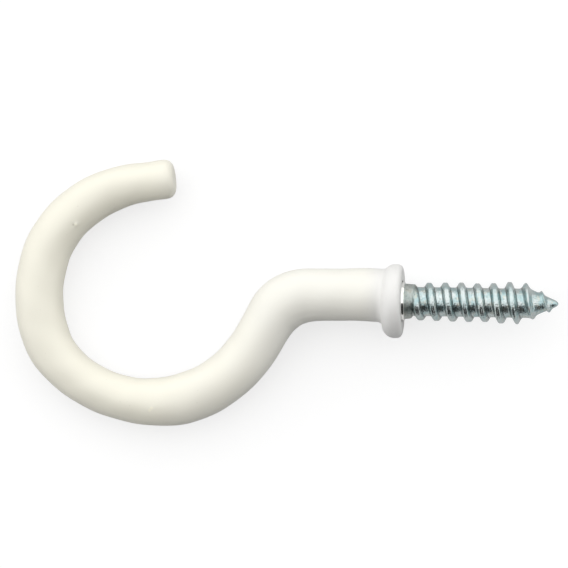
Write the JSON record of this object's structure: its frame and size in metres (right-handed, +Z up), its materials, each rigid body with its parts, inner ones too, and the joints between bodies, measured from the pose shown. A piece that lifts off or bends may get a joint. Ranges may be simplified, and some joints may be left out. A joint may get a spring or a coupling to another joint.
{
  "type": "cup hook",
  "caption": "Screw-in cup hook: a bent steel wire with a collar and a wood-screw thread, its hook and collar dipped in white plastic.",
  "frame": {"origin": "centre of the collar's mounting face, where the screw leaves the plastic coat", "axes": "+X along the screw's axis towards its point; the hook lies flat in the XY plane with its open tip towards +Y; +Z up from the surface that it lies on"},
  "size_m": [0.051, 0.025, 0.0068],
  "materials": {
    "zinc_steel": "bright zinc plating with a faint blue-green passivate, as rolled and not polished",
    "dip_plastic": "glossy soft white dipped plastic, smooth, with a few specks and scuffs"
  },
  "bodies": {
    "root": {"steel_hook": "zinc_steel", "dip_coat": "dip_plastic"}
  },
  "joints": []
}
